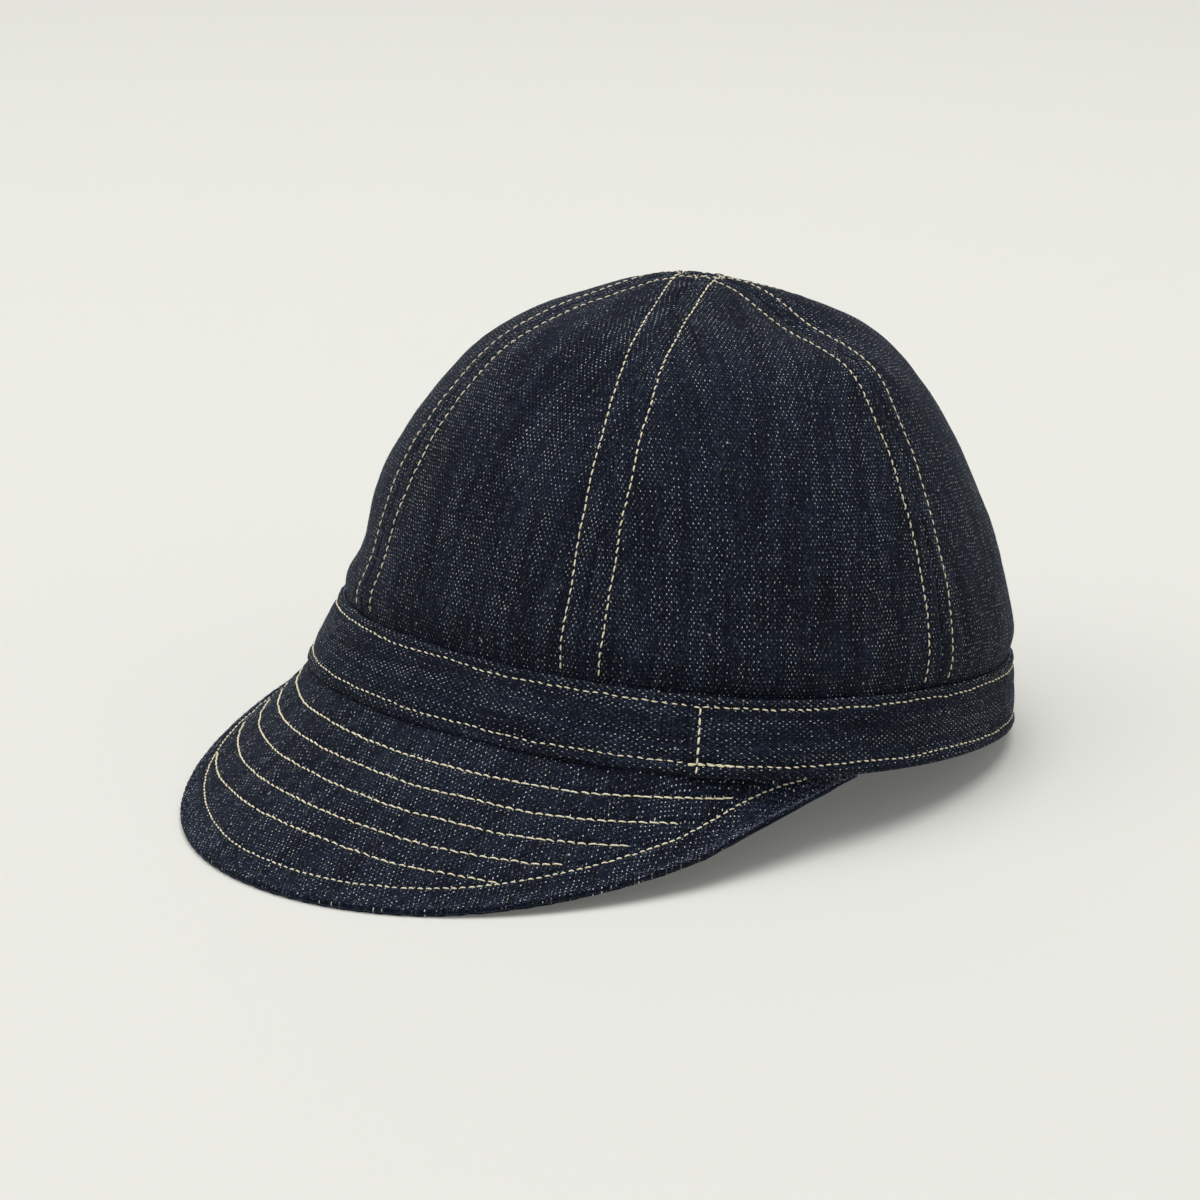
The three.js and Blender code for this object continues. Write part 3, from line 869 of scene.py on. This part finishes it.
def stitch_form():
    """One stitch, modelled once: a ball with six sides, drawn out to a short length of thread.
    Gives each vertex's place along the stitch, sideways and upwards, and the faces."""
    bpy.ops.object.select_all(action="DESELECT")
    bpy.ops.mesh.primitive_uv_sphere_add(segments=6, ring_count=7, radius=1)
    ball = bpy.context.object
    places = np.array([v.co[:] for v in ball.data.vertices])
    faces = [tuple(p.vertices) for p in ball.data.polygons]
    bpy.data.objects.remove(ball)
    along = 0.5 + 0.5 * np.sign(places[:, 2]) * np.abs(places[:, 2]) ** 0.9
    return along, places[:, 0], places[:, 1], faces


STITCH_ALONG, STITCH_SIDE, STITCH_UP, STITCH_FACES = stitch_form()


class Seam:
    """A line of stitches of one kind, along points of a surface and their normals."""

    def __init__(self, kind, line, seed):
        self.points = line[0]
        self.normals = unit(line[1])
        (self.pitch, self.share, self.radius, self.arch, self.tilt, self.waver,
         self.taper) = STITCH_KINDS[kind]
        self.seed = seed

    def stitches(self):
        """Vertices of all the line's stitches, and their thread coordinates."""
        steps = np.linalg.norm(np.diff(self.points, axis=0), axis=1)
        length = np.concatenate([[0], np.cumsum(steps)])
        count = max(int(length[-1] / self.pitch), 1)
        random = np.random.default_rng(self.seed)
        starts = (np.arange(count) + random.uniform(-0.05, 0.05, count)) * length[-1] / count
        lengths = self.pitch * self.share * random.uniform(0.86, 1.08, count)
        at = starts[:, None] + lengths[:, None] * STITCH_ALONG[None, :]
        at = np.clip(at, 0, length[-1])
        centre = self.read(length, self.points, at)
        normal = unit(self.read(length, self.normals, at))
        step = 0.3
        ahead = self.read(length, self.points, np.minimum(at + step, length[-1]))
        behind = self.read(length, self.points, np.maximum(at - step, 0))
        side = unit(np.cross(unit(ahead - behind), normal))
        bow = 1 - np.abs(2 * STITCH_ALONG - 1) ** 2.4
        thin = np.maximum(np.hypot(STITCH_SIDE, STITCH_UP), 1e-3)
        full = thin ** (self.taper - 1)
        radius = self.radius * random.uniform(0.92, 1.08, count)[:, None]
        lift = self.arch * bow[None, :] + radius * (0.85 * STITCH_UP * full - 0.8)[None, :]
        turned = self.tilt + random.normal(0, 0.06, count)[:, None]
        slant = turned * (2 * STITCH_ALONG - 1)[None, :]
        slip = random.normal(0, self.waver, count)[:, None]
        across = slant + slip + radius * (STITCH_SIDE * full)[None, :]
        placed = centre + normal * lift[..., None] + side * across[..., None]
        spin = np.arctan2(STITCH_UP, STITCH_SIDE) / (2 * math.pi)
        thread = np.stack([at, np.broadcast_to(spin, at.shape)], axis=-1)
        return placed.reshape(-1, 3), thread.reshape(-1, 2)

    @staticmethod
    def read(length, values, at):
        """Values along the line, between its points."""
        return np.stack([np.interp(at, length, values[:, k]) for k in range(3)], axis=-1)


def sew(name, seams, material):
    """Joins all the stitches of some seams into one piece."""
    made = [seam.stitches() for seam in seams]
    points = np.concatenate([m[0] for m in made])
    thread = np.concatenate([m[1] for m in made])
    size = len(STITCH_ALONG)
    faces = [tuple(start + i for i in face)
             for start in range(0, len(points), size) for face in STITCH_FACES]
    lay_uv(placed_piece(name, points, faces, material, "stitching"), "thread", thread)


def seam_line(seam, side, surface):
    """Points and normals of one line of stitches beside a crown seam, from the band up to and
    over the tip as far as the line of the seam across from it."""
    rows = np.concatenate([np.linspace(1.0, 80, 260), np.linspace(80.1, 89.9, 160)])
    azimuth = np.full(len(rows), float(seam))
    radius = crown_base(azimuth, rows, panel_swell(azimuth))[1]
    keep = radius > SEAM_STITCH_OFFSET
    lean = np.degrees(np.arcsin(np.clip(SEAM_STITCH_OFFSET / radius[keep], 0, 1)))
    rows, azimuth = rows[keep], azimuth[keep] + side * lean
    along = rows * CROWN_MM_PER_DEGREE + seam * 10 + side * 500
    azimuth = azimuth + np.degrees(0.14 * ripple_along(along, 24, 8) / radius[keep])
    return surface(azimuth, rows)[:2]


def sew_crown(thread):
    """Two lines of stitches along each crown seam, on the face and on the reverse."""
    face, reverse = [], []
    for number, seam in enumerate(SEAM_AZIMUTHS[:-1]):
        for side in (-1, 1):
            seed = 100 + 2 * number + side
            face.append(Seam("crown", seam_line(seam, side, crown_surface), seed))
            reverse.append(Seam("crown_reverse", seam_line(seam, side, crown_reverse), seed))
    sew("crown_topstitching", face, thread)
    sew("crown_topstitching_reverse", reverse, thread)


def band_line(rise, surface, start=0.4, end=360.0, count=2400):
    """Points and normals of a line of stitches round the headband."""
    wound = np.linspace(start, end, count)
    along = wound * BAND_MM_PER_DEGREE + rise * 40
    wander = 0.16 * ripple_along(along, 32, 9) + 0.07 * ripple_along(along, 11, 10)
    return surface(wound, rise + wander)[:2]


def sew_band(thread):
    """The headband's two lines of stitches, its lap's cross line and the tacked ends."""
    face, reverse = [], []
    for seed, rise in ((201, BAND_LOWER_STITCH), (202, BAND_UPPER_STITCH)):
        face.append(Seam("band", band_line(rise, band_surface), seed))
        reverse.append(Seam("band_reverse", band_line(rise, band_reverse), seed))
    count = 60
    rises = np.linspace(0.6, BAND_UPPER_STITCH, count)
    for seed, wound in ((211, 1.38), (212, 1.46)):
        face.append(Seam("lap", band_surface(np.full(count, wound), rises)[:2], seed))
    for seed, rise, end in ((221, 2.9, 8.2), (222, 3.15, 6.5)):
        face.append(Seam("tack", band_line(rise, band_surface, 0.1, end, count), seed))
    sew("band_topstitching", face, thread)
    sew("band_topstitching_reverse", reverse, thread)


def row_line(number, surface):
    """Points and normals of one row of stitches across the peak, between its edge stitching."""
    s = np.linspace(-0.985, 0.985, 900)
    t = np.linspace(0.02, 0.99, 240)
    grid = peak_base(s[:, None], t[None, :])
    root = band_point(s * PEAK_AZIMUTH, 0.0, 0.0)
    out = np.linalg.norm(grid - root[:, None, :], axis=2)
    stop = PEAK_ROWS[number][3]
    along = s * PEAK_MM_PER_S + number * 300
    wanted = row_distance(number, s) + 0.12 * ripple_along(along, 28, 17)
    first = np.argmax(out > wanted[:, None], axis=1)
    found = np.array([np.interp(w, o[max(i - 1, 0):i + 1], t[max(i - 1, 0):i + 1])
                      for w, o, i in zip(wanted, out, first)])
    on_row = peak_base(s, found)
    keep = (edge_distance(on_row) > edge_stitch_distance(s) + stop) & (out.max(axis=1) > wanted)
    keep &= first > 0
    return surface(s[keep], found[keep])[:2]


def edge_line(surface):
    """Points and normals of the stitching along the peak's edge, from band to band."""
    s = np.linspace(-0.998, 0.998, 900)
    t = np.linspace(0.03, 0.995, 240)
    points = peak_base(s[:, None], t[None, :]).reshape(-1, 3)
    rim = edge_distance(points).reshape(len(s), len(t))
    wanted = edge_stitch_distance(s)
    found = np.full(len(s), np.nan)
    for i, (gap, want) in enumerate(zip(rim, wanted)):
        inside = np.nonzero(gap >= want)[0]
        if len(inside):
            last = slice(inside[-1], inside[-1] + 2)
            found[i] = np.interp(-want, -gap[last], t[last])
    keep = np.isfinite(found)
    return surface(s[keep], found[keep])[:2]


def sew_peak(thread):
    """Five rows of heavier stitches across the peak and one finer line along its edge, as they
    show above it and under it."""
    for side, ending in ((1, ""), (-1, "_under")):
        surface = peak_face(side)
        seams = [Seam("peak" + ending, row_line(number, surface), 300 + number)
                 for number in range(len(PEAK_ROWS))]
        seams.append(Seam("edge" + ending, edge_line(surface), 320))
        sew("peak_topstitching" + ending, seams, thread)


# Where on the roll of cloth the headband and the peak are cut, and how far apart two crown panels
# are cut for each degree between them. So no two pieces show the same patches.
BAND_CUT = 500
PEAK_CUT = 900
PANEL_CUT = 31


def build_crown(face_cloth, reverse_cloth):
    """Six crown panels, a hair apart. Each is cut with the warp running up its middle."""
    apart = 0.02
    dome_radius = 95
    rows = np.concatenate([np.linspace(-CROWN_TUCK, -2.5, 6),
                           graded(-2, 89.93, [0], 3, 0.35, 0.55)])
    for start, end, name in zip(SEAM_AZIMUTHS, SEAM_AZIMUTHS[1:], PANEL_NAMES):
        width = math.radians(end - start) * HALF_WIDTH
        places = graded(0, width, [0, width], 8, 0.7, 1.7)
        columns = start + (end - start) * places / width
        columns[0] += apart
        columns[-1] -= apart
        middle = (start + end) / 2

        def laid(azimuth, row, points):
            radius = crown_base(azimuth, row, 0.0)[1]
            across = radius * np.radians(azimuth - middle)
            up = np.where(row < 0, row, dome_radius * np.radians(row))
            return across + PANEL_CUT * middle, up

        cloth_piece(f"crown_{name}", columns, rows, crown_surface, crown_reverse, laid,
                    [face_cloth, reverse_cloth], "crown_denim", f"crown_panel_{name}")


def build_band(face_cloth, reverse_cloth):
    """The headband, a strip wound once round and lapped. Its warp runs along it."""
    columns = np.concatenate([[0, 0.06, 0.14, 0.24, 0.34, 0.44],
                              np.linspace(0.6, 360 + LAP_LENGTH, 610)])
    rises = graded(0, BAND_HEIGHT, [0, BAND_LOWER_STITCH, BAND_UPPER_STITCH, BAND_HEIGHT], 1.2,
                   0.26, 0.9)

    def laid(wound, rise, points):
        return rise + BAND_CUT, -wound * BAND_MM_PER_DEGREE

    cloth_piece("headband_cloth", columns, rises, band_surface, band_reverse, laid,
                [face_cloth, reverse_cloth], "band_denim", "headband")


def build_peak(face_cloth, reverse_cloth):
    """The peak's two plies, sewn round the edge and turned, with their faces outside."""
    depth = 65

    def laid(s, t, points):
        return points[:, 0] + PEAK_CUT, -points[:, 1]

    for name, side, node, across, coarse in (("peak_upper_cloth", 1, "peak_upper", 300, 0.66),
                                             ("peak_under_cloth", -1, "peak_under", 220, 0.9)):
        columns = np.linspace(side, -side, across + 1)
        rows = np.concatenate([np.linspace(-PEAK_TUCK, -0.02, 4),
                               graded(0, depth, [depth], 2, 0.25, coarse) / depth])
        cloth_piece(name, columns, rows, peak_face(side), peak_hidden_face(side), laid,
                    [face_cloth, reverse_cloth], "peak_denim", node)


def grow_fluff(name, roots, normals, slot, material, seed):
    """Fine curled fibres that stand off the cloth at the given points, as one piece."""
    random = np.random.default_rng(seed)
    count = len(roots)
    lie = unit(np.cross(normals, unit(random.normal(size=(count, 3)))))
    curl = unit(np.cross(normals, lie)) * random.normal(0, 0.35, (count, 1))
    length = np.clip(random.lognormal(-0.45, 0.4, (count, 1)), 0.25, 1.5)
    stand = random.uniform(0.25, 0.75, (count, 1))
    across = unit(np.cross(lie, normals))
    rings = []
    for along, thick in ((0.0, 1.0), (0.5, 0.8), (1.0, 0.35)):
        centre = roots + length * (normals * stand * (along - 0.35 * along ** 2)
                                   + lie * 0.7 * along + curl * along ** 2)
        for corner in (0, 1, 2):
            turned = 2 * math.pi * corner / 3
            rings.append(centre + FLUFF_RADIUS * thick
                         * (across * math.cos(turned) + normals * math.sin(turned)))
    points = above_floor(np.stack(rings, axis=1).reshape(-1, 3))
    quads = np.array([(3 * ring + k, 3 * ring + (k + 1) % 3, 3 * ring + 3 + (k + 1) % 3,
                       3 * ring + 3 + k) for ring in (0, 1) for k in (0, 1, 2)])
    faces = (9 * np.arange(count)[:, None, None] + quads[None, :, :]).reshape(-1, 4)
    placed_piece(name, points, faces.tolist(), material, slot)


def grow_all_fluff(material):
    """The fluff on the crown, on the headband and on the upper face of the peak, where more of it
    stands along the edge."""
    random = np.random.default_rng(7)
    azimuth = random.uniform(SEAM_AZIMUTHS[0], SEAM_AZIMUTHS[-1], CROWN_FLUFF)
    row = np.degrees(np.arcsin(random.uniform(0.02, 0.999, CROWN_FLUFF)))
    points, normals, _ = crown_surface(azimuth, row)
    grow_fluff("crown_fluff", points, normals, "crown_denim", material, 401)
    wound = random.uniform(1, 360, BAND_FLUFF)
    rise = random.uniform(0.3, BAND_HEIGHT - 0.2, BAND_FLUFF)
    points, normals, _ = band_surface(wound, rise)
    grow_fluff("band_fluff", points, normals, "band_denim", material, 402)
    s = np.sin(random.uniform(-1.45, 1.45, PEAK_FLUFF))
    by_edge = random.random(PEAK_FLUFF) < 0.3
    t = np.where(by_edge, random.uniform(0.9, 0.998, PEAK_FLUFF),
                 random.uniform(0.02, 0.998, PEAK_FLUFF))
    points, normals, _ = peak_face(1)(s, t)
    grow_fluff("peak_fluff", points, normals, "peak_denim", material, 403)


# The camera: where it looks, from which side, and how far it stands back.
VIEW_AZIMUTH = 42.48
VIEW_ELEVATION = 17.56
VIEW_TARGET = (-20.35, 23.45, 36.69)
VIEW_DISTANCE = 909.3
VIEW_LENS = 93.81

# The floor and the lamps, in metres. The floor reaches this far to each side, is this deep in all
# and starts this far in front of the cap. Some way behind it, the floor sweeps up in a curve.
FLOOR_SIDES = 4
FLOOR_DEPTH = 6
FLOOR_IN_FRONT = 2.2
SWEEP_START = 1.8
SWEEP_RADIUS = 0.8
LAMP_AIM_HEIGHT = 0.05
# Columns: a lamp's name, azimuth, elevation, distance, size, power in watts and colour.
LAMPS = [
    ("key", -30, 52, 4.2, 3.2, 50, "#FFFFFF"),
    ("fill", 110, 35, 4.6, 3.6, 10, "#F9FAFF"),
    ("top", 200, 84, 4.2, 3.4, 150, "#FFFFFF"),
]


def direction(azimuth, elevation):
    """The unit vector from the cap towards an azimuth and an elevation."""
    a, e = math.radians(azimuth), math.radians(elevation)
    return Vector((math.sin(a) * math.cos(e), -math.cos(a) * math.cos(e), math.sin(e)))


def look_back(thing, back):
    """Turns a camera or a lamp that stands out in a direction to look back along it."""
    thing.rotation_mode = "QUATERNION"
    thing.rotation_quaternion = (-back).to_track_quat("-Z", "Y")


def build_floor():
    """A pale floor that sweeps up to a backdrop far behind the cap."""
    bpy.ops.object.select_all(action="DESELECT")
    bpy.ops.mesh.primitive_grid_add(x_subdivisions=8, y_subdivisions=60, size=2)
    floor = bpy.context.object
    floor.name = "studio_floor"
    away = -direction(VIEW_AZIMUTH, 0)
    side = Vector((away.y, -away.x, 0))
    for vertex in floor.data.vertices:
        across = vertex.co.x * FLOOR_SIDES
        behind = (vertex.co.y + 1) / 2 * FLOOR_DEPTH - FLOOR_IN_FRONT
        rise = max(behind - SWEEP_START, 0) ** 2 / (2 * SWEEP_RADIUS)
        vertex.co = side * across + away * behind + Vector((0, 0, rise))
    for polygon in floor.data.polygons:
        polygon.use_smooth = True
    bpy.ops.object.mode_set(mode="EDIT")
    bpy.ops.mesh.select_all(action="SELECT")
    bpy.ops.mesh.normals_make_consistent(inside=False)
    bpy.ops.object.mode_set(mode="OBJECT")
    floor.data.materials.append(acrylic_with_painted_glow("matt_acrylic_painted_glow", "#CCCCC6", "#F3F3EC"))


def set_camera():
    """The camera at the photograph's viewing angle."""
    data = bpy.data.cameras.new("view")
    data.sensor_width = 36
    data.lens = VIEW_LENS
    data.clip_start = 0.01
    data.clip_end = 60
    camera = bpy.data.objects.new("view", data)
    bpy.context.collection.objects.link(camera)
    back = direction(VIEW_AZIMUTH, VIEW_ELEVATION)
    camera.location = (Vector(VIEW_TARGET) + back * VIEW_DISTANCE) * MM
    look_back(camera, back)
    bpy.context.scene.camera = camera


def add_light(name, azimuth, elevation, distance, size, power, colour):
    """A soft square light that faces the cap."""
    data = bpy.data.lights.new(name, "AREA")
    data.shape = "SQUARE"
    data.size = size
    data.energy = power
    data.color = linear(colour)[:3]
    lamp = bpy.data.objects.new(name, data)
    bpy.context.collection.objects.link(lamp)
    back = direction(azimuth, elevation)
    lamp.location = back * distance + Vector((0, 0, LAMP_AIM_HEIGHT))
    look_back(lamp, back)


def set_tones():
    """Shows light as it is, without the soft curve of film, as the photograph does."""
    bpy.context.scene.view_settings.view_transform = "Standard"


def set_lights():
    """Soft studio light: a strong large lamp overhead, a weaker one at each side, and an even
    pale surround."""
    for lamp in LAMPS:
        add_light(*lamp)
    world = bpy.data.worlds.new("studio")
    bpy.context.scene.world = world
    world.use_nodes = True
    world.node_tree.nodes.clear()
    surround = add(world.node_tree, "ShaderNodeBackground",
                   {"Color": linear("#F8F8F8"), "Strength": 0.31})
    add(world.node_tree, "ShaderNodeOutputWorld", {"Surface": surround})


def main():
    """Builds the cap's pieces, then the floor, the camera and the lights."""
    face = denim("indigo_denim_face", "#080A13", "#283751", "#E2E4DC", 0.07)
    reverse = denim("indigo_denim_reverse", "#4E5A70", "#8893A6", "#D2D4D4", 0.1)
    thread = cotton_thread("cream_cotton_thread")
    build_crown(face, reverse)
    build_band(face, reverse)
    build_peak(face, reverse)
    sew_crown(thread)
    sew_band(thread)
    sew_peak(thread)
    grow_all_fluff(cotton_fluff("indigo_cotton_fluff", "#A2AEC4"))
    set_camera()
    build_floor()
    set_lights()
    set_tones()


main()
